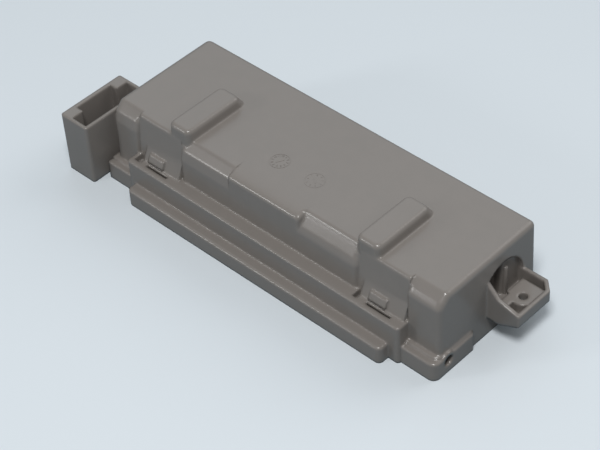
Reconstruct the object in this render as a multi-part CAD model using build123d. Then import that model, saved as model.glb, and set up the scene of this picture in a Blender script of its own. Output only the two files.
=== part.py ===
from build123d import *
import os
from collections import namedtuple
from math import radians, tan

# One-piece injection moulded housing: a long, hollow cover that is open underneath.
# X runs along the body from the connector end, Y from the front to the back, Z up from the
# foot. Sizes are millimetres. The finished solid is centred on its footprint.

# Body shell, measured round its flat top
body_length = 165.0
body_depth = 52.8
body_height = 35.7
draft_angle = 0.8
wall = 1.9
left_end_radius = 3.4
edge_radius = 2.2
inner_radius = 1.4

# Rolled top front edge. Each length of the front starts its roll this far back, meets a
# crease, and runs out on the front wall this far below the flat top.
Roll = namedtuple("Roll", "setback crease_setback crease_drop foot_drop foot_radius")
left_roll = Roll(4.6, 0.9, 3.7, 7.9, 5.0)
bulge_roll = Roll(4.6, 0.9, 5.4, 7.9, 5.0)
right_roll = Roll(5.0, 1.7, 2.6, 4.9, 3.0)
roll_top_radius = 1.5
roll_crease_radius = 0.7

# A catch recess: where it starts, where its leaning panel starts in it, and the rolls beside it
Recess = namedtuple("Recess", "start panel_offset roll_before roll_after")

# Front of the body from left to right: column, catch recess, bulge, catch recess, column
left_column_width = 14.0
right_column_width = 15.0
recess_width = 23.0
bulge_left_length = 26.6
bulge_right_length = 28.0
centre_edge_drop = 1.6
centre_slope_depth = 9.0
centre_edge_radius = 1.9
bulge_end_radius = 2.4
centre_end_radius = 1.4
column_side_radius = 1.6
front_depth = 12.0

# Catch recesses: back wall, leaning panel, catch block, slot and side pocket
recess_setback = 2.4
recess_lean_height = 23.8
recess_lean_setback = 1.1
recess_edge_radius = 1.5
panel_overhang = 1.75
catch_width = 8.0
catch_height = 3.2
catch_lift = 1.0
catch_depth = 1.0
catch_offset = 6.8
slot_width = 11.4
slot_depth = 1.1
slot_gap = 0.8
slot_offset = 6.9
left_panel_offset = 3.9
right_panel_offset = 2.7
pocket_side_gap = 0.5
pocket_depth = 3.0
pocket_reach = 3.5
pocket_setback = 0.6

# Ledge and lower rail along the front
ledge_height = 17.4
ledge_reach = 6.0
ledge_overlap = 1.2
ledge_corner_radius = 1.5
ledge_edge_radius = 0.5
rail_height = 7.5
rail_reach = 10.6
rail_left_gap = 3.2
rail_right_gap = 4.9
rail_edge_radius = 0.9
rail_corner_radius = 2.2

# Two-step flange round the foot
flange_height = 8.2
flange_reach = 4.7
flange_step_rise = 0.9
flange_step_reach = 2.2
flange_end_reach = 1.7
flange_left_reach = 0.7
flange_return = 16.3
flange_return_run = 3.4
flange_edge_radius = 0.7
flange_corner_radius = 3.0
cross_hole_radius = 2.3
cross_ring_wall = 1.4
cross_hole_setback = 3.0
cross_hole_height = 5.6

# Raised pads on the top, one from each catch recess
pad_width = 11.2
pad_length = 30.6
pad_height = 5.0
pad_draft = 3.0
pad_edge_radius = 1.9
pad_corner_radius = 2.6
pad_run_out = 3.2
left_pad_setback = 16.0
right_pad_lead = 2.6

# Connector shroud on the left end and the web that ties it to the body
shroud_gap = 3.1
shroud_length = 14.6
shroud_front_reach = 11.2
shroud_width = 31.3
shroud_height = 27.6
shroud_corner_radius = 1.0
shroud_edge_radius = 0.4
shroud_wall = 1.3
socket_length = 7.9
socket_key_length = 3.5
socket_key_width = 17.9
web_front = 4.0
web_back = 19.0
web_height = 25.0

# Fixing ear on the right end
ear_front = 25.2
ear_width = 21.6
ear_reach = 14.6
ear_height = 18.0
ear_foot = 8.7
ear_tip_foot = 12.9
ear_foot_run = 6.0
ear_back_cut = 4.0
ear_wall = 1.6
ear_corner_radius = 0.8
ear_brace_rise = 7.5
ear_brace_knee = 2.2
ear_brace_run = 5.4
ear_edge_radius = 0.4
ear_floor_thickness = 2.0
ear_seat_height = 16.8
ear_seat_start = 2.6
ear_seat_front = 8.5
ear_seat_width = 8.8
ear_web_start = 3.6
ear_web_width = 3.6
ear_hole_radius = 1.75
ear_boss_wall = 2.65
ear_hole_reach = 8.4
ear_hole_setback = 10.3

# Scooped niches in the right end wall above the ear
niche_front = 26.8
niche_back = 45.4
niche_split = 35.6
niche_depth = 5.0
niche_shallow_depth = 1.5
niche_split_radius = 1.2
niche_shoulder_height = 25.4
niche_crown_height = 28.7
niche_crown_setback = 36.6
niche_tail_height = 17.8

# Board rest ribs inside the back wall
rib_thickness = 1.2
rib_depth = 2.2
rib_foot = 12.0
rib_pitch = 38.0
rib_count = 4

draft = tan(radians(draft_angle))
clear = 10.0

recess_1 = left_column_width
right_column = body_length - right_column_width
recess_2 = right_column - recess_width
bulge_start = recess_1 + recess_width
bulge_end = recess_2
bulge_split = bulge_start + bulge_left_length
bulge_split_2 = bulge_end - bulge_right_length
ledge_left = left_column_width - ledge_overlap
ledge_right = right_column + ledge_overlap
rail_left = ledge_left + rail_left_gap
rail_right = ledge_right - rail_right_gap
shroud_right = -shroud_gap
shroud_left = shroud_right - shroud_length
pad_starts = [recess_1 + left_pad_setback, recess_2 - right_pad_lead]


def front_wall(height):
    """Y of the drafted front wall at a height."""
    return -(body_height - height) * draft


def slab(outline, x_from, x_to):
    """Solid between two X planes from a closed outline of (Y, Z) points."""
    face = make_face(Polyline(*outline, close=True).edges())
    return extrude(Plane.YZ.offset(x_from) * face, amount=x_to - x_from)


def block(x_from, x_to, y_from, y_to, z_from, z_to):
    """Box between limits."""
    size = (x_to - x_from, y_to - y_from, z_to - z_from)
    return Pos(x_from, y_from, z_from) * Box(*size, align=(Align.MIN, Align.MIN, Align.MIN))


def upright(x_from, x_to, y_from, y_to, z_from, z_to, radius):
    """Box between limits with rounded upright corners."""
    plan = RectangleRounded(x_to - x_from, y_to - y_from, radius)
    middle = Pos((x_from + x_to) / 2, (y_from + y_to) / 2, z_from)
    return extrude(middle * plan, amount=z_to - z_from)


def end_face(solid, direction):
    """Flat end of a solid that faces along X, on the side of the sign given."""
    ends = [f for f in solid.faces() if f.normal_at().X * direction > 0.9]
    return max(ends, key=lambda f: f.area)


def lengthwise(solid, y, z):
    """Longest edge along X that passes near a (Y, Z) point."""
    reach = 0.6
    near = [
        e for e in solid.edges()
        if abs(e.tangent_at(0.5).X) > 0.95
        and abs(e.center().Y - y) < reach
        and abs(e.center().Z - z) < reach
    ]
    return max(near, key=lambda e: e.length)


def drafted_block():
    """Body block with every side leaning in by the draft angle."""
    spread = 2 * body_height * draft
    plan = Pos(body_length / 2, body_depth / 2) * Rectangle(body_length + spread, body_depth + spread)
    return extrude(plan, amount=body_height, taper=draft_angle)


def rear_block():
    """Everything of the body behind the front lengths, its ends and back rounded."""
    solid = drafted_block()
    seam = front_depth - wall
    solid -= block(-clear, body_length + clear, -clear, seam, -clear, body_height + clear)
    left_top = [e for e in end_face(solid, -1).edges() if e.center().Z > body_height - wall]
    solid = fillet(left_top, left_end_radius)
    right_top = [e for e in end_face(solid, 1).edges() if e.center().Z > body_height - wall]
    back = max(solid.faces(), key=lambda f: f.center().Y)
    back_round = [e for e in back.edges() if e.center().Z > wall]
    return fillet(right_top + back_round, edge_radius)


def roll_length(x_from, x_to, roll, z_from):
    """One length of the front with sharp roll lines."""
    foot = body_height - roll.foot_drop
    outline = [
        (front_depth, z_from),
        (front_wall(z_from), z_from),
        (front_wall(foot), foot),
        (roll.crease_setback, body_height - roll.crease_drop),
        (roll.setback, body_height),
        (front_depth, body_height),
    ]
    return slab(outline, x_from, x_to)


def roll_side(solid, direction):
    """Front edges of the flat side of a length, from its foot to the flat top."""
    side = end_face(solid, direction)
    top = body_height - roll_crease_radius
    return [
        e for e in side.edges()
        if e.center().Y < front_depth - wall and e.center().Z < top and abs(e.tangent_at(0.5).Y) < 0.9
    ]


def end_round(solid, direction):
    """Front and top edges of a column's outer end."""
    end = end_face(solid, direction)
    return [e for e in end.edges() if e.center().Z > wall and e.center().Y < front_depth - draft]


def soften(solid, roll):
    """Rounds the crease, foot and top line of a roll, in that order."""
    foot = body_height - roll.foot_drop
    lines = [
        (roll.crease_setback, body_height - roll.crease_drop, roll_crease_radius),
        (front_wall(foot), foot, roll.foot_radius),
        (roll.setback, body_height, roll_top_radius),
    ]
    for y, z, radius in lines:
        solid = fillet(lengthwise(solid, y, z), radius)
    return solid


def left_column():
    """Column at the connector end, down to the foot."""
    solid = roll_length(-clear, left_column_width, left_roll, 0) & drafted_block()
    solid = fillet(end_round(solid, -1), left_end_radius)
    solid = fillet(roll_side(solid, 1), column_side_radius)
    return soften(solid, left_roll)


def right_column_solid():
    """Column at the ear end, down to the foot."""
    solid = roll_length(right_column, body_length + clear, right_roll, 0) & drafted_block()
    solid = fillet(end_round(solid, 1), edge_radius)
    solid = fillet(roll_side(solid, -1), column_side_radius)
    return soften(solid, right_roll)


def centre_length(radius):
    """Centre length of the bulge, its top crowned down to a lowered edge, both corners given."""
    base = ledge_height - wall
    edge_height = body_height - centre_edge_drop
    corner = (front_wall(edge_height), edge_height)
    foot = (front_wall(base), base)
    crown_start = (centre_slope_depth, body_height)
    outline = [
        Polyline(crown_start, (front_depth, body_height), (front_depth, base), foot, corner),
        TangentArc(crown_start, corner, tangent=(-1, 0)),
    ]
    solid = extrude(Plane.YZ.offset(bulge_split) * make_face(outline), amount=bulge_split_2 - bulge_split)
    solid = fillet(lengthwise(solid, *corner), centre_edge_radius)
    if radius:
        solid = fillet(roll_side(solid, 1), radius)
    return solid


def bulge():
    """Middle of the front: two rolled lengths beside a centre length with a lowered edge."""
    base = ledge_height - wall
    left = roll_length(bulge_start, bulge_split, left_roll, base)
    left = soften(fillet(roll_side(left, -1), bulge_end_radius), left_roll)
    lap = bulge_split_2 - 2 * centre_end_radius
    right = roll_length(lap, bulge_end, bulge_roll, base)
    right = soften(fillet(roll_side(right, 1), bulge_end_radius), bulge_roll)
    over = block(lap, bulge_split_2, -clear, front_depth + clear, 0, body_height + clear)
    right -= over - centre_length(0)
    return left + centre_length(centre_end_radius) + right


def recess_outline():
    """Front outline of the wall behind a catch recess, from the ledge up."""
    return [
        (front_depth, body_height),
        (front_depth, ledge_height - wall),
        (pocket_setback, ledge_height - wall),
        (recess_lean_setback, recess_lean_height),
        (recess_setback, body_height),
    ]


def tie(x_from, x_to, roll):
    """Core that carries a rolled length on behind the wall of the recess beside it."""
    solid = roll_length(x_from, x_to, roll, ledge_height - wall)
    solid = fillet(lengthwise(solid, roll.setback, body_height), roll_top_radius)
    return solid & slab(recess_outline(), x_from, x_to)


def recess(place):
    """Back wall of one catch recess, its ties to both neighbours, and its leaning panel."""
    end = place.start + recess_width
    solid = slab(recess_outline(), place.start, end)
    solid = fillet(lengthwise(solid, recess_setback, body_height), recess_edge_radius)
    solid += tie(place.start - bulge_end_radius, place.start, place.roll_before)
    solid += tie(end, end + bulge_end_radius, place.roll_after)
    panel = [
        (wall, ledge_height - wall),
        (-panel_overhang, ledge_height - wall),
        (-panel_overhang, ledge_height),
        (recess_lean_setback, recess_lean_height),
        (wall, recess_lean_height),
    ]
    return solid + slab(panel, place.start + place.panel_offset, end)


def catch(start):
    """Catch block on the leaning panel."""
    bottom = ledge_height + catch_lift
    top = bottom + catch_height
    lean = (recess_lean_setback + panel_overhang) / (recess_lean_height - ledge_height)
    face_bottom = -panel_overhang + lean * catch_lift - catch_depth
    face_top = face_bottom + lean * catch_height
    outline = [
        (face_bottom, bottom),
        (face_top, top),
        (face_top + wall, top),
        (face_bottom + wall, bottom),
    ]
    return slab(outline, start + catch_offset, start + catch_offset + catch_width)


def slot(start):
    """Slot through the ledge in front of a catch."""
    back = -panel_overhang - slot_gap
    left = start + slot_offset
    right = left + slot_width
    return block(left, right, back - slot_depth, back, ledge_height - clear, ledge_height + clear)


def pocket(place, grow=0.0):
    """Blind pocket in the ledge beside a leaning panel, or the shell round it when grown."""
    return block(
        place.start + pocket_side_gap - grow,
        place.start + place.panel_offset + grow,
        -pocket_reach - grow,
        pocket_setback + grow,
        ledge_height - pocket_depth - grow,
        recess_lean_height,
    )


def topped(solid, radius):
    """Rounds the whole top edge of a flat-topped block."""
    top = max(solid.faces(), key=lambda f: f.center().Z)
    return fillet(top.edges(), radius)


def ledge():
    """Stepped front ledge."""
    plan = (ledge_left, ledge_right, -ledge_reach, front_depth)
    return topped(upright(*plan, 0, ledge_height, ledge_corner_radius), ledge_edge_radius)


def rail():
    """Lower rail in front of the ledge."""
    plan = (rail_left, rail_right, -rail_reach, wall)
    return topped(upright(*plan, 0, rail_height, rail_corner_radius), rail_edge_radius)


def flange_step(reach, end_reach, height, radius):
    """One step of the foot flange, cut away at a slant where it ends on the right wall."""
    right = body_length + end_reach
    outline = [
        (-flange_left_reach, -reach),
        (right, -reach),
        (right, flange_return),
        (right - flange_end_reach - wall, flange_return + flange_return_run),
        (-flange_left_reach, wall),
    ]
    solid = extrude(make_face(Polyline(*outline, close=True).edges()), amount=height)
    corner = [e for e in solid.edges() if abs(e.tangent_at(0.5).Z) > 0.9 and e.center().X > body_length]
    front = min(corner, key=lambda e: e.center().Y)
    solid = fillet(front, radius)
    top = max(solid.faces(), key=lambda f: f.center().Z)
    seen = [e for e in top.edges() if e.center().Y < flange_return + wall and e.center().X > wall]
    front_line = [e for e in seen if e.center().Y < 0 or e.center().X > body_length]
    return fillet(front_line, flange_edge_radius)


def flange():
    """Two-step flange round the foot."""
    low = flange_step(flange_reach, flange_end_reach, flange_height, flange_corner_radius)
    high = flange_step(
        flange_step_reach, flange_end_reach / 2, flange_height + flange_step_rise, flange_corner_radius
    )
    return low + high


def pad(start):
    """One raised pad, flush with the recess wall in front and running out at the back."""
    sunk = 2 * wall
    base = body_height - sunk
    top = body_height + pad_height
    foot_width = pad_width + 2 * sunk * tan(radians(pad_draft))
    plan = Pos(start + pad_width / 2, recess_setback + pad_length / 2, base)
    plan = plan * Rectangle(foot_width, 2 * pad_length)
    outline = [
        (recess_setback, base),
        (recess_setback + pad_length, base),
        (recess_setback + pad_length, body_height),
        (recess_setback + pad_length - pad_run_out, top),
        (recess_setback, top),
    ]
    solid = extrude(plan, amount=pad_height + sunk, taper=pad_draft)
    solid = solid & slab(outline, start - clear, start + pad_width + clear)
    corners = [e for e in solid.edges() if abs(e.tangent_at(0.5).Z) > 0.6 and e.center().Z > body_height]
    solid = fillet(corners, pad_corner_radius)
    return topped(solid, pad_edge_radius)


def pad_hollow(start):
    """Hollow under a pad."""
    return block(
        start + wall,
        start + pad_width - wall,
        recess_setback + wall,
        recess_setback + pad_length - pad_run_out - wall,
        0,
        body_height + pad_height - wall,
    )


def shroud():
    """Outside of the connector shroud and the web that ties it to the body."""
    back = shroud_width - shroud_front_reach
    outer = upright(
        shroud_left, shroud_right, -shroud_front_reach, back, 0, shroud_height, shroud_corner_radius
    )
    web = block(shroud_right - shroud_wall, wall, web_front, web_back, 0, web_height)
    return topped(outer, shroud_edge_radius) + web


def socket():
    """T-shaped opening down through the shroud."""
    right = shroud_right - shroud_wall
    middle = shroud_width / 2 - shroud_front_reach
    half = shroud_width / 2 - shroud_wall
    top = shroud_height + clear
    wide = block(right - socket_length, right, middle - half, middle + half, -clear, top)
    half = socket_key_width / 2
    key = block(right - socket_length - socket_key_length, right, middle - half, middle + half, -clear, top)
    return wide + key


def cross_hole_place(x):
    """Where the cross hole meets an X plane."""
    return Plane.YZ.offset(x) * Pos(cross_hole_setback, cross_hole_height)


def cross_ring():
    """Raised ring round the cross hole."""
    ring = Circle(cross_hole_radius + cross_ring_wall)
    return extrude(cross_hole_place(body_length - wall) * ring, amount=wall + flange_end_reach)


def cross_hole():
    """Cross hole through the right end wall only."""
    hole = cross_hole_place(body_length - 2 * wall) * Circle(cross_hole_radius)
    return extrude(hole, amount=2 * wall + flange_end_reach + clear)


def ear_underside(lift):
    """Space over the sloped underside of the ear, lifted by a thickness."""
    tip = body_length + ear_reach
    knee = body_length + ear_foot_run
    rise = (ear_tip_foot - ear_foot) / (tip - knee)
    outline = [
        (body_length - clear, ear_foot + lift),
        (knee, ear_foot + lift),
        (tip + clear, ear_tip_foot + lift + rise * clear),
        (tip + clear, body_height),
        (body_length - clear, body_height),
    ]
    face = make_face(Polyline(*outline, close=True).edges())
    return extrude(Plane.XZ.offset(-body_depth) * face, amount=body_depth)


def ear_plan():
    """Plan outline of the ear with its cut back corner and rounded corners."""
    tip = body_length + ear_reach
    back = ear_front + ear_width
    outline = [
        (body_length - wall, ear_front),
        (tip, ear_front),
        (tip, back - ear_back_cut),
        (tip - ear_back_cut, back),
        (body_length - wall, back),
    ]
    plan = make_face(Polyline(*outline, close=True).edges())
    return fillet([v for v in plan.vertices() if v.X > body_length], ear_corner_radius)


def ear():
    """Fixing ear: a tray with a tall front wall, a seat and a boss for the screw."""
    plan = ear_plan()
    tray = offset(plan, -ear_wall)
    solid = topped(extrude(plan, amount=ear_height), ear_edge_radius)
    tip = body_length + ear_reach
    brace = [
        (body_length - wall, ear_height - wall),
        (body_length - wall, ear_height + ear_brace_rise),
        (body_length, ear_height + ear_brace_rise),
        (body_length + ear_brace_run, ear_height + ear_brace_knee),
        (tip - ear_corner_radius, ear_height),
        (tip - ear_corner_radius, ear_height - wall),
    ]
    brace_face = make_face(Polyline(*brace, close=True).edges())
    solid += extrude(Plane.XZ.offset(-ear_front - ear_wall) * brace_face, amount=ear_wall)
    seat_front = ear_front + ear_seat_front
    hole = Pos(body_length + ear_hole_reach, ear_front + ear_hole_setback)
    boss = extrude(hole * Circle(ear_hole_radius + ear_boss_wall), amount=ear_seat_height)
    seat = block(
        body_length + ear_seat_start,
        tip - ear_wall / 2,
        seat_front,
        seat_front + ear_seat_width,
        0,
        ear_seat_height,
    )
    bridge_left = body_length + ear_web_start
    bridge = block(bridge_left, bridge_left + ear_web_width, ear_front, seat_front, 0, ear_seat_height)
    space = extrude(tray, amount=body_height) & ear_underside(ear_floor_thickness)
    solid -= space - seat - boss - bridge
    solid = solid & ear_underside(0)
    core = block(
        body_length + ear_seat_start + ear_wall,
        tip - 2 * ear_wall,
        seat_front + ear_wall,
        seat_front + ear_seat_width - ear_wall,
        0,
        ear_seat_height - ear_floor_thickness,
    )
    solid -= core - boss
    return solid - extrude(hole * Circle(ear_hole_radius), amount=body_height)


def niche(grow=0.0):
    """Scoop in the right end wall, deep in front and shallow behind, or the shell round it."""
    floor = ear_foot + ear_floor_thickness
    front = Line((niche_front, floor), (niche_front, niche_shoulder_height))
    arch = ThreePointArc(
        (niche_front, niche_shoulder_height),
        (niche_crown_setback, niche_crown_height),
        (niche_back, niche_tail_height),
    )
    back = Line((niche_back, niche_tail_height), (niche_back, floor))
    foot = Line((niche_back, floor), (niche_front, floor))
    outline = make_face([front, arch, back, foot])
    if grow:
        outline = offset(outline, grow, kind=Kind.INTERSECTION)
    shallow = extrude(Plane.YZ.offset(body_length - niche_shallow_depth - grow) * outline, amount=clear)
    deep = extrude(Plane.YZ.offset(body_length - niche_depth - grow) * outline, amount=clear)
    deep = deep & block(0, 2 * body_length, 0, niche_split + grow, 0, body_height)
    scoop = shallow + deep
    if grow:
        return scoop
    step = body_length - niche_shallow_depth
    corner = [
        e for e in scoop.edges()
        if abs(e.tangent_at(0.5).Z) > 0.9
        and abs(e.center().X - step) < 0.1
        and abs(e.center().Y - niche_split) < 0.1
    ]
    return fillet(corner, niche_split_radius)


def ribs():
    """Row of stiffening ribs inside the back wall."""
    back = body_depth - wall
    first = (body_length - rib_pitch * (rib_count - 1) - rib_thickness) / 2
    top = body_height - wall / 2
    rib = block(first, first + rib_thickness, back - rib_depth, back + wall / 2, rib_foot, top)
    solid = rib
    for step in range(1, rib_count):
        solid += Pos(step * rib_pitch, 0, 0) * rib
    return solid


def cavity():
    """Hollow inside of the cover, open at the foot."""
    back = body_depth - wall
    main_front = recess_setback + wall
    top = body_height - wall
    inside = upright(wall, body_length - wall, main_front, back, -clear, top, inner_radius)
    column_top = body_height - left_roll.foot_drop
    lengths = [(0, recess_1), (bulge_start, bulge_end), (right_column, body_length)]
    for x_from, x_to in lengths:
        inside += block(x_from + wall, x_to - wall, wall, main_front + wall, -clear, column_top)
    steps = [
        (ledge_left, ledge_right, ledge_reach, ledge_height),
        (rail_left, rail_right, rail_reach, rail_height),
        (0, body_length, flange_reach, flange_height),
    ]
    for x_from, x_to, reach, height in steps:
        plan = (x_from + wall, x_to - wall, wall - reach, main_front + wall)
        inside += block(*plan, -clear, height - wall)
    for place in recesses:
        inside -= pocket(place, wall)
    inside -= niche(wall)
    return inside


recesses = [
    Recess(recess_1, left_panel_offset, left_roll, left_roll),
    Recess(recess_2, right_panel_offset, bulge_roll, right_roll),
]

outside = rear_block() + left_column() + right_column_solid() + ledge()
for place in recesses:
    outside += recess(place)
outside += bulge()
outside += rail()
outside += flange()
for start in pad_starts:
    outside += pad(start)
outside += shroud()
outside += cross_ring()

housing = outside - cavity()
housing += ribs()
for start in pad_starts:
    housing -= pad_hollow(start)
for place in recesses:
    housing -= slot(place.start)
    housing -= pocket(place)
    housing += catch(place.start)
housing -= niche()
housing += ear()
housing -= socket()
housing -= cross_hole()

extent = housing.bounding_box()
housing = Pos(-extent.center().X, -extent.center().Y, 0) * housing

os.makedirs("parts", exist_ok=True)
export_step(housing, "parts/housing.step")
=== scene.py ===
"""Dresses and lights a one-piece injection moulded housing.

The housing is a single warm grey moulding. The scene gives it one satin-gloss plastic, opens the
niche over the fixing ear down to the ear's tray, adds the rib in the niche and the shallow mould
dials on the flat top, and sets the housing on a plain pale floor under soft studio light.
"""

import logging
import math
from dataclasses import dataclass, field
from enum import Enum

import bmesh
import bpy
from mathutils import Matrix, Vector

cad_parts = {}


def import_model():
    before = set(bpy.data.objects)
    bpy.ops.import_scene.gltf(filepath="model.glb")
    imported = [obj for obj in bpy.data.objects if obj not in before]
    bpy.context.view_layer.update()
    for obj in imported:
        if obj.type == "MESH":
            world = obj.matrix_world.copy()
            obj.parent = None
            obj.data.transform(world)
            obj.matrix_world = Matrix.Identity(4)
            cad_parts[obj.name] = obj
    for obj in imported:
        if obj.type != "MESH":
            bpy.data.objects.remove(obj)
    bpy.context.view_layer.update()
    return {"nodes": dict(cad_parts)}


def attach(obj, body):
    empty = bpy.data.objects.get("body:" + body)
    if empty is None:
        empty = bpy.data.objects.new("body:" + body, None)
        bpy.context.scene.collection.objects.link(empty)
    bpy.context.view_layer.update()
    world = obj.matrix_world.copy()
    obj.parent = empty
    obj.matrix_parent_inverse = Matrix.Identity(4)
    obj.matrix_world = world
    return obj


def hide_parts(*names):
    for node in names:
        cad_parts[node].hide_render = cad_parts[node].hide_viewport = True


Colour = tuple[float, float, float]
Point = tuple[float, float, float]

BODY = "root"
HOUSING = "housing"
MM = 0.001
FLAT_TOP = 35.7
MERGE_DISTANCE = 0.000001
SAME_PLACE = 0.00001
SQUARE_ON = 0.99
SMOOTH_ANGLE = math.radians(32)

log = logging.getLogger("housing_scene")


class Relief(Enum):
    """How proud a mould mark stands, as a share of its full height over the skin."""

    PROUD = 1.0
    FAINT = 0.65


def srgb(red: int, green: int, blue: int) -> Colour:
    """Turns 8-bit display values into the linear colour a shader takes.

    Args:
        red: Red, 0 to 255.
        green: Green, 0 to 255.
        blue: Blue, 0 to 255.

    Returns:
        The linear colour.
    """

    def linear(value: int) -> float:
        """Undoes the display curve for one channel."""
        share = value / 255
        return share / 12.92 if share <= 0.04045 else ((share + 0.055) / 1.055) ** 2.4

    return linear(red), linear(green), linear(blue)


@dataclass(frozen=True)
class MouldedPlastic:
    """Warm grey thermoplastic with the satin gloss of a polished steel mould.

    Attributes:
        name: Name of the material.
        base: Main colour.
        flow: Slightly warmer colour of the flow clouds.
        roughness: Mean roughness of the skin.
        roughness_spread: How far the roughness wanders either way.
        gloss: Strength of the reflection off the skin.
        cloud_scale: Flow clouds per metre.
        cloud_detail: Finer layers within the flow clouds.
        peel_scale: Gentle surface waves per metre.
        peel_detail: Finer layers within the gentle waves.
        peel_depth: Height of the gentle waves in metres.
        edge_radius: Radius at which sharp edges catch the light, in metres.
        edge_samples: Samples that smooth the light on the edges.
    """

    name: str = "housing_plastic"
    base: Colour = srgb(124, 119, 114)
    flow: Colour = srgb(129, 123, 118)
    roughness: float = 0.24
    roughness_spread: float = 0.05
    gloss: float = 0.5
    cloud_scale: float = 160.0
    cloud_detail: float = 3.0
    peel_scale: float = 900.0
    peel_detail: float = 2.0
    peel_depth: float = 0.000002
    edge_radius: float = 0.0016
    edge_samples: int = 16

    def build(self) -> bpy.types.Material:
        """Makes the node material.

        Returns:
            The finished material.
        """
        material = bpy.data.materials.new(self.name)
        material.use_nodes = True
        tree = material.node_tree
        shader = tree.nodes["Principled BSDF"]
        shader.inputs["Specular IOR Level"].default_value = self.gloss
        place = tree.nodes.new("ShaderNodeTexCoord")

        clouds = tree.nodes.new("ShaderNodeTexNoise")
        clouds.inputs["Scale"].default_value = self.cloud_scale
        clouds.inputs["Detail"].default_value = self.cloud_detail
        tree.links.new(place.outputs["Object"], clouds.inputs["Vector"])
        tint = tree.nodes.new("ShaderNodeMix")
        tint.data_type = "RGBA"
        tint.inputs["A"].default_value = (*self.base, 1.0)
        tint.inputs["B"].default_value = (*self.flow, 1.0)
        tree.links.new(clouds.outputs["Fac"], tint.inputs["Factor"])
        tree.links.new(tint.outputs["Result"], shader.inputs["Base Color"])

        skin = tree.nodes.new("ShaderNodeMapRange")
        skin.inputs["To Min"].default_value = self.roughness - self.roughness_spread
        skin.inputs["To Max"].default_value = self.roughness + self.roughness_spread
        tree.links.new(clouds.outputs["Fac"], skin.inputs["Value"])
        tree.links.new(skin.outputs["Result"], shader.inputs["Roughness"])

        rounding = tree.nodes.new("ShaderNodeBevel")
        rounding.samples = self.edge_samples
        rounding.inputs["Radius"].default_value = self.edge_radius
        peel = tree.nodes.new("ShaderNodeTexNoise")
        peel.inputs["Scale"].default_value = self.peel_scale
        peel.inputs["Detail"].default_value = self.peel_detail
        tree.links.new(place.outputs["Object"], peel.inputs["Vector"])
        bump = tree.nodes.new("ShaderNodeBump")
        bump.inputs["Distance"].default_value = self.peel_depth
        tree.links.new(peel.outputs["Fac"], bump.inputs["Height"])
        tree.links.new(rounding.outputs["Normal"], bump.inputs["Normal"])
        tree.links.new(bump.outputs["Normal"], shader.inputs["Normal"])
        return material


@dataclass(frozen=True)
class FloorPaper:
    """Plain pale studio paper.

    Attributes:
        name: Name of the material.
        colour: Colour of the paper in plain view.
        bounce: Quieter colour that the paper throws back on the plastic.
        roughness: Roughness of the paper.
    """

    name: str = "floor_paper"
    colour: Colour = srgb(212, 219, 224)
    bounce: Colour = srgb(132, 148, 158)
    roughness: float = 0.9

    def build(self) -> bpy.types.Material:
        """Makes the node material.

        Returns:
            The finished material.
        """
        material = bpy.data.materials.new(self.name)
        material.use_nodes = True
        tree = material.node_tree
        shader = tree.nodes["Principled BSDF"]
        shader.inputs["Roughness"].default_value = self.roughness
        shader.inputs["Specular IOR Level"].default_value = 0.0
        path = tree.nodes.new("ShaderNodeLightPath")
        seen = tree.nodes.new("ShaderNodeMix")
        seen.data_type = "RGBA"
        seen.inputs["A"].default_value = (*self.bounce, 1.0)
        seen.inputs["B"].default_value = (*self.colour, 1.0)
        tree.links.new(path.outputs["Is Camera Ray"], seen.inputs["Factor"])
        tree.links.new(seen.outputs["Result"], shader.inputs["Base Color"])
        return material


def pick_faces(piece: bpy.types.Object, up: float) -> None:
    """Selects the faces of a piece in edit mode that face straight up or down.

    Args:
        piece: Piece in edit mode.
        up: 1 for the faces that face up, -1 for those that face down.
    """
    mesh = bmesh.from_edit_mesh(piece.data)
    for face in mesh.faces:
        face.select_set(face.normal.z * up > SQUARE_ON)
    bmesh.update_edit_mesh(piece.data)


def settle(piece: bpy.types.Object) -> None:
    """Puts a piece's place, turn and size into its mesh.

    Args:
        piece: Finished piece.
    """
    bpy.ops.object.select_all(action="DESELECT")
    piece.select_set(True)
    bpy.context.view_layer.objects.active = piece
    bpy.ops.object.transform_apply(location=True, rotation=True, scale=True)


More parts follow.
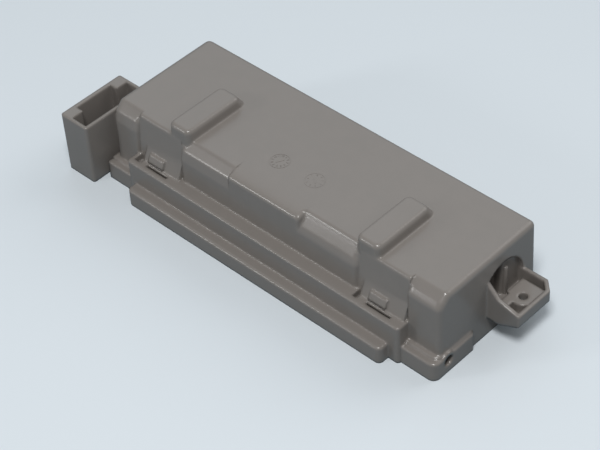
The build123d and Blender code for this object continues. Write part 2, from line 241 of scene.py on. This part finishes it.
@dataclass
class MouldDial:
    """Round date dial that an insert in the mould leaves on the skin.

    Attributes:
        name: Name of the piece.
        centre: Middle of the dial on the top face, in millimetres.
        top: Height of the top face in millimetres.
        turn: Turn of the dial in degrees.
        pointer_turn: Turn of the pointer in degrees.
        numbers: How many numbers stand round the dial.
        relief: How proud the dial stands.
        rim_radius: Outer radius of the rim in millimetres.
        rim_sides: How many sides make the rim round.
        rim_width: Width of the rim in millimetres.
        height: Height of a proud mark over the skin in millimetres.
        sunk: Depth that each mark reaches into the skin in millimetres.
        number_size: Height of the numbers in millimetres.
        number_radius: Radius at which the numbers stand in millimetres.
        number_steps: Steps that make the numbers' curves round.
        pointer_length: Length of the pointer in millimetres.
        pointer_width: Width of the pointer's tail in millimetres.
        pointer_tip: Width of the pointer's tip as a share of its tail.
    """

    name: str
    centre: tuple[float, float]
    top: float
    turn: float
    pointer_turn: float
    numbers: int
    relief: Relief
    rim_radius: float = 4.0
    rim_sides: int = 72
    rim_width: float = 0.28
    height: float = 0.11
    sunk: float = 0.1
    number_size: float = 1.25
    number_radius: float = 2.85
    number_steps: int = 3
    pointer_length: float = 3.2
    pointer_width: float = 0.55
    pointer_tip: float = 0.25

    def rise(self) -> float:
        """Height of the marks over the skin in millimetres."""
        return self.height * self.relief.value

    def rim(self) -> bpy.types.Object:
        """Turns a short cylinder into the dial's rim.

        Returns:
            The rim.
        """
        depth = self.rise() + self.sunk
        bpy.ops.mesh.primitive_cylinder_add(
            vertices=self.rim_sides,
            radius=self.rim_radius * MM,
            depth=depth * MM,
            location=(*(c * MM for c in self.centre), (self.top + depth / 2 - self.sunk) * MM),
        )
        piece = bpy.context.object
        bpy.ops.object.mode_set(mode="EDIT")
        bpy.ops.mesh.select_mode(type="FACE")
        for up in (1, -1):
            bpy.ops.mesh.select_all(action="DESELECT")
            pick_faces(piece, up)
            bpy.ops.mesh.inset(thickness=self.rim_width * MM)
            bpy.ops.mesh.delete(type="ONLY_FACE")
        bpy.ops.mesh.select_mode(type="EDGE")
        bpy.ops.mesh.select_all(action="DESELECT")
        inner = (self.rim_radius - self.rim_width / 2) * MM
        mesh = bmesh.from_edit_mesh(piece.data)
        for edge in mesh.edges:
            ends = [math.hypot(*vertex.co.xy) for vertex in edge.verts]
            flat = abs(edge.verts[0].co.z - edge.verts[1].co.z) < SAME_PLACE
            edge.select_set(flat and max(ends) < inner)
        bmesh.update_edit_mesh(piece.data)
        bpy.ops.mesh.bridge_edge_loops()
        bpy.ops.mesh.select_all(action="SELECT")
        bpy.ops.mesh.normals_make_consistent(inside=False)
        bpy.ops.object.mode_set(mode="OBJECT")
        return piece

    def pointer(self) -> bpy.types.Object:
        """Tapers a cube into the dial's pointer.

        Returns:
            The pointer.
        """
        depth = self.rise() + self.sunk
        bpy.ops.mesh.primitive_cube_add(
            size=MM, location=(*(c * MM for c in self.centre), (self.top + depth / 2 - self.sunk) * MM)
        )
        piece = bpy.context.object
        piece.scale = (self.pointer_length, self.pointer_width, depth)
        piece.rotation_euler.z = math.radians(self.pointer_turn)
        bpy.ops.object.mode_set(mode="EDIT")
        mesh = bmesh.from_edit_mesh(piece.data)
        for face in mesh.faces:
            face.select_set(face.normal.x > SQUARE_ON)
        bmesh.update_edit_mesh(piece.data)
        bpy.ops.transform.resize(value=(1.0, self.pointer_tip, 1.0))
        bpy.ops.object.mode_set(mode="OBJECT")
        return piece

    def number(self, value: int) -> bpy.types.Object:
        """Sets one number on the dial as a shallow solid.

        Args:
            value: Number to set.

        Returns:
            The number.
        """
        angle = math.radians(90 + self.turn) - 2 * math.pi * value / self.numbers
        x, y = (c * MM for c in self.centre)
        place = (
            x + self.number_radius * MM * math.cos(angle),
            y + self.number_radius * MM * math.sin(angle),
            self.top * MM,
        )
        bpy.ops.object.text_add(location=place, rotation=(0.0, 0.0, angle - math.pi / 2))
        piece = bpy.context.object
        words = piece.data
        words.body = str(value)
        words.size = self.number_size * MM
        words.align_x = "CENTER"
        words.align_y = "CENTER"
        words.resolution_u = self.number_steps
        words.extrude = self.rise() * MM
        bpy.ops.object.convert(target="MESH")
        return bpy.context.object

    def build(self, material: bpy.types.Material) -> bpy.types.Object:
        """Models the dial and joins its parts.

        Args:
            material: Plastic of the moulding.

        Returns:
            The finished dial.
        """
        parts = [self.rim(), self.pointer()]
        parts += [self.number(value) for value in range(1, self.numbers + 1)]
        for part in parts:
            settle(part)
            part.data.materials.clear()
        bpy.ops.object.select_all(action="DESELECT")
        for part in parts:
            part.select_set(True)
        bpy.context.view_layer.objects.active = parts[0]
        bpy.ops.object.join()
        dial = bpy.context.object
        dial.name = self.name
        dial.data.name = self.name
        bpy.context.scene.cursor.location = (0.0, 0.0, 0.0)
        bpy.ops.object.origin_set(type="ORIGIN_CURSOR")
        dial.data.materials.append(material)
        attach(dial, BODY)
        return dial


@dataclass
class EarNiche:
    """Open foot of the scooped niche between the end wall and the fixing ear's tray.

    Sizes are in millimetres, along and across the housing from its middle, and up from its foot.

    Attributes:
        mouth: Where the tray begins.
        shallow_back: Back face of the shallow half.
        deep_back: How far the cutter reaches into the deep half.
        front: Front side of the niche.
        split: Step between the deep and the shallow half.
        back: Rear side of the niche.
        floor: Floor that the niche shares with the tray.
        top: Height up to which the foot is opened.
        split_radius: Radius of the step's corner.
        split_steps: Facets that round the step's corner.
        rib_centre: Middle of the rib across the housing.
        rib_width: Thickness of the rib.
        rib_back: Rear end of the rib, inside the niche's wall.
        rib_face: Front face of the rib.
        rib_top: Top of the rib.
        rib_radius: Radius of the rib's edges.
        rib_steps: Facets that round the rib's edges.
    """

    mouth: float = 83.8
    shallow_back: float = 82.53
    deep_back: float = 80.3
    front: float = 5.73
    split: float = 14.55
    back: float = 24.17
    floor: float = 10.68
    top: float = 18.6
    split_radius: float = 1.2
    split_steps: int = 6
    rib_centre: float = 16.4
    rib_width: float = 1.7
    rib_back: float = 81.2
    rib_face: float = 83.5
    rib_top: float = 24.0
    rib_radius: float = 0.6
    rib_steps: int = 5

    def cutter(self) -> bpy.types.Object:
        """Extrudes the deep half from a cube and rounds the step between the halves.

        Returns:
            The cutter.
        """
        sides = ((self.shallow_back, self.mouth), (self.front, self.back), (self.floor, self.top))
        bpy.ops.mesh.primitive_cube_add(size=MM, location=[sum(side) / 2 * MM for side in sides])
        piece = bpy.context.object
        piece.name = "niche_cutter"
        piece.scale = [high - low for low, high in sides]
        settle(piece)
        bpy.ops.object.mode_set(mode="EDIT")
        bpy.ops.mesh.select_mode(type="FACE")
        bpy.ops.mesh.select_all(action="SELECT")
        bpy.ops.mesh.bisect(plane_co=(0.0, self.split * MM, 0.0), plane_no=(0.0, 1.0, 0.0))
        mesh = bmesh.from_edit_mesh(piece.data)
        for face in mesh.faces:
            centre = face.calc_center_median()
            face.select_set(face.normal.x < -SQUARE_ON and centre.y < self.split * MM)
        bmesh.update_edit_mesh(piece.data)
        reach = (self.deep_back - self.shallow_back) * MM
        bpy.ops.mesh.extrude_region_move(TRANSFORM_OT_translate={"value": (reach, 0.0, 0.0)})
        bpy.ops.mesh.select_mode(type="EDGE")
        bpy.ops.mesh.select_all(action="DESELECT")
        mesh = bmesh.from_edit_mesh(piece.data)
        for edge in mesh.edges:
            one, two = (vertex.co for vertex in edge.verts)
            upright = (one - two).xy.length < SAME_PLACE
            at_step = (one.xy - Vector((self.shallow_back, self.split)) * MM).length < SAME_PLACE
            edge.select_set(upright and at_step)
        bmesh.update_edit_mesh(piece.data)
        bpy.ops.mesh.bevel(
            offset=self.split_radius * MM, segments=self.split_steps, affect="EDGES"
        )
        bpy.ops.mesh.select_all(action="SELECT")
        bpy.ops.mesh.normals_make_consistent(inside=False)
        bpy.ops.object.mode_set(mode="OBJECT")
        return piece

    def open_foot(self, moulding: bpy.types.Object) -> None:
        """Cuts the niche through to the tray in a merged copy of the moulding.

        Args:
            moulding: Merged copy that is cut.
        """
        cutter = self.cutter()
        bpy.ops.object.select_all(action="DESELECT")
        moulding.select_set(True)
        bpy.context.view_layer.objects.active = moulding
        cut = moulding.modifiers.new("open_foot", "BOOLEAN")
        cut.operation = "DIFFERENCE"
        cut.solver = "EXACT"
        cut.object = cutter
        bpy.ops.object.modifier_apply(modifier=cut.name)
        bpy.data.objects.remove(cutter, do_unlink=True)

    def rib(self, material: bpy.types.Material) -> bpy.types.Object:
        """Bevels a cube into the rib that stands on the step of the niche.

        Args:
            material: Plastic of the moulding.

        Returns:
            The rib.
        """
        half = self.rib_width / 2
        sides = (
            (self.rib_back, self.rib_face),
            (self.rib_centre - half, self.rib_centre + half),
            (self.floor - half, self.rib_top),
        )
        bpy.ops.object.select_all(action="DESELECT")
        bpy.ops.mesh.primitive_cube_add(size=MM, location=[sum(side) / 2 * MM for side in sides])
        piece = bpy.context.object
        piece.name = "niche_rib"
        piece.scale = [high - low for low, high in sides]
        settle(piece)
        rounding = piece.modifiers.new("edges", "BEVEL")
        rounding.width = self.rib_radius * MM
        rounding.segments = self.rib_steps
        bpy.ops.object.modifier_apply(modifier=rounding.name)
        bpy.ops.object.shade_smooth_by_angle(angle=SMOOTH_ANGLE)
        piece.data.materials.append(material)
        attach(piece, BODY)
        return piece


@dataclass
class Housing:
    """The moulding itself, the niche at its end and the marks of its mould on the top.

    Attributes:
        finish: Plastic that the moulding is made of.
        mark_finish: The same plastic with the crisper edges of the shallow marks.
        niche: Foot of the niche over the fixing ear.
        dials: Mould dials on the flat top.
    """

    finish: MouldedPlastic = field(default_factory=MouldedPlastic)
    mark_finish: MouldedPlastic = MouldedPlastic(name="mark_plastic", edge_radius=0.00004)
    niche: EarNiche = field(default_factory=EarNiche)
    dials: tuple[MouldDial, ...] = (
        MouldDial(
            name="mould_dial_months",
            centre=(-7.3, -3.6),
            top=FLAT_TOP,
            turn=20.0,
            pointer_turn=62.0,
            numbers=12,
            relief=Relief.PROUD,
        ),
        MouldDial(
            name="mould_dial_years",
            centre=(9.85, -3.1),
            top=FLAT_TOP,
            turn=-15.0,
            pointer_turn=-40.0,
            numbers=9,
            relief=Relief.FAINT,
        ),
    )

    def build(self, nodes: dict[str, bpy.types.Object]) -> list[bpy.types.Object]:
        """Dresses a merged copy of the moulding and sets the rib and the marks on it.

        Args:
            nodes: The modelled solids by name.

        Returns:
            The dressed moulding, the niche's rib and the marks.
        """
        plastic = self.finish.build()
        moulding = self.merged_copy(nodes[HOUSING])
        self.niche.open_foot(moulding)
        self.smooth(moulding)
        moulding.data.materials.clear()
        moulding.data.materials.append(plastic)
        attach(moulding, BODY)
        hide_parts(HOUSING)
        mark_plastic = self.mark_finish.build()
        marks = [dial.build(mark_plastic) for dial in self.dials]
        return [moulding, self.niche.rib(plastic), *marks]

    def merged_copy(self, node: bpy.types.Object) -> bpy.types.Object:
        """Copies the modelled solid and joins its loose triangles.

        Args:
            node: The modelled solid.

        Returns:
            The merged copy.
        """
        piece = bpy.data.objects.new("housing_moulding", node.data.copy())
        bpy.context.scene.collection.objects.link(piece)
        bpy.ops.object.select_all(action="DESELECT")
        piece.select_set(True)
        bpy.context.view_layer.objects.active = piece
        if piece.data.has_custom_normals:
            bpy.ops.mesh.customdata_custom_splitnormals_clear()
        bpy.ops.object.mode_set(mode="EDIT")
        bpy.ops.mesh.select_all(action="SELECT")
        bpy.ops.mesh.remove_doubles(threshold=MERGE_DISTANCE)
        bpy.ops.object.mode_set(mode="OBJECT")
        return piece

    def smooth(self, piece: bpy.types.Object) -> None:
        """Smooths the rounds and keeps the flat walls flat.

        Args:
            piece: Piece to smooth.
        """
        bpy.ops.object.select_all(action="DESELECT")
        piece.select_set(True)
        bpy.context.view_layer.objects.active = piece
        bpy.ops.object.shade_smooth_by_angle(angle=SMOOTH_ANGLE)
        weighting = piece.modifiers.new("flat_walls", "WEIGHTED_NORMAL")
        weighting.keep_sharp = True
        bpy.ops.object.modifier_apply(modifier=weighting.name)


@dataclass
class SoftBox:
    """One square studio lamp aimed at the housing.

    Attributes:
        name: Name of the lamp.
        place: Where the lamp hangs, in metres.
        size: Side of the lamp in metres.
        power: Power in watts.
        colour: Colour of the light.
    """

    name: str
    place: Point
    size: float
    power: float
    colour: Colour = (1.0, 1.0, 1.0)

    def build(self, aim: Point) -> bpy.types.Object:
        """Hangs the lamp and turns it towards a point.

        Args:
            aim: Point that the lamp faces.

        Returns:
            The lamp.
        """
        lamp = bpy.data.lights.new(self.name, "AREA")
        lamp.shape = "SQUARE"
        lamp.size = self.size
        lamp.energy = self.power
        lamp.color = self.colour
        holder = bpy.data.objects.new(self.name, lamp)
        holder.location = self.place
        facing = Vector(aim) - Vector(self.place)
        holder.rotation_euler = facing.to_track_quat("-Z", "Y").to_euler()
        bpy.context.scene.collection.objects.link(holder)
        return holder


@dataclass
class Studio:
    """Floor, lamps and surroundings.

    Attributes:
        floor_side: Side of the floor in metres.
        floor_drop: Gap that keeps the floor clear of the foot rim.
        aim: Point that the lamps face.
        paper: Finish of the floor.
        surround: Colour of the surrounding light.
        surround_strength: Strength of the surrounding light.
        lamps: The lamps.
    """

    floor_side: float = 8.0
    floor_drop: float = 0.00005
    aim: Point = (0.0, 0.0, 0.02)
    paper: FloorPaper = field(default_factory=FloorPaper)
    surround: Colour = (0.93, 0.97, 1.0)
    surround_strength: float = 0.26
    lamps: tuple[SoftBox, ...] = (
        SoftBox("key_lamp", (0.36, -0.42, 1.12), 0.30, 9.4),
        SoftBox("side_lamp", (-0.575, -0.84, 0.416), 0.18, 1.6),
        SoftBox("sky_lamp", (-0.68, 0.66, 0.90), 1.00, 2.0, (0.80, 0.92, 1.0)),
        SoftBox("back_lamp", (0.35, 1.00, 0.85), 0.90, 4.5),
    )

    def build(self) -> None:
        """Lays the floor, hangs the lamps and sets the surrounding light."""
        bpy.ops.mesh.primitive_plane_add(size=self.floor_side, location=(0, 0, -self.floor_drop))
        floor = bpy.context.object
        floor.name = "floor"
        floor.data.materials.append(self.paper.build())
        for lamp in self.lamps:
            lamp.build(self.aim)
        world = bpy.data.worlds.new("studio")
        world.use_nodes = True
        tree = world.node_tree
        glow = tree.nodes["Background"]
        glow.inputs["Color"].default_value = (*self.surround, 1.0)
        glow.inputs["Strength"].default_value = self.surround_strength
        backdrop = tree.nodes.new("ShaderNodeBackground")
        backdrop.inputs["Color"].default_value = (*self.paper.colour, 1.0)
        path = tree.nodes.new("ShaderNodeLightPath")
        seen = tree.nodes.new("ShaderNodeMixShader")
        tree.links.new(path.outputs["Is Camera Ray"], seen.inputs["Fac"])
        tree.links.new(glow.outputs["Background"], seen.inputs[1])
        tree.links.new(backdrop.outputs["Background"], seen.inputs[2])
        tree.links.new(seen.outputs["Shader"], tree.nodes["World Output"].inputs["Surface"])
        bpy.context.scene.world = world


@dataclass
class Viewpoint:
    """Camera that looks down on the ledge side of the housing.

    Attributes:
        aim: Point at the middle of the view, in metres.
        azimuth: Turn of the view about the upright, in degrees.
        elevation: Height of the view above the horizon, in degrees.
        roll: Turn of the camera about its own line of sight, in degrees.
        distance: Distance from the aim in metres.
        lens: Focal length in millimetres.
        sensor: Width of the camera's sensor in millimetres.
        shift: Sideways and upward shift of the frame.
    """

    aim: Point = (0.001934, -0.003625, 0.008811)
    azimuth: float = 46.04
    elevation: float = 43.40
    roll: float = -4.02
    distance: float = 0.7062
    lens: float = 113.09
    sensor: float = 36.0
    shift: tuple[float, float] = (-0.0032, 0.0004)

    def build(self) -> bpy.types.Object:
        """Places the camera and makes it the scene's own.

        Returns:
            The camera.
        """
        turn, tilt, roll = (math.radians(a) for a in (self.azimuth, self.elevation, self.roll))
        sight = Vector((-math.sin(turn) * math.cos(tilt), math.cos(turn) * math.cos(tilt),
                        -math.sin(tilt)))
        level = Vector((math.cos(turn), math.sin(turn), 0.0))
        over = level.cross(sight)
        right = math.cos(roll) * level + math.sin(roll) * over
        up = math.cos(roll) * over - math.sin(roll) * level
        data = bpy.data.cameras.new("camera")
        data.lens = self.lens
        data.sensor_width = self.sensor
        data.shift_x, data.shift_y = self.shift
        camera = bpy.data.objects.new("camera", data)
        camera.matrix_world = Matrix.Translation(Vector(self.aim) - sight * self.distance) @ (
            Matrix((right, up, -sight)).transposed().to_4x4())
        bpy.context.scene.collection.objects.link(camera)
        bpy.context.scene.camera = camera
        return camera


def main() -> None:
    """Builds the housing's dress, the studio and the camera."""
    logging.basicConfig(level=logging.INFO)
    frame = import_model()
    bpy.ops.object.select_all(action="DESELECT")
    for piece in Housing().build(frame["nodes"]):
        log.info("dressed %s", piece.name)
    Studio().build()
    Viewpoint().build()
    bpy.context.scene.view_settings.view_transform = "Standard"


if __name__ == "__main__":
    main()
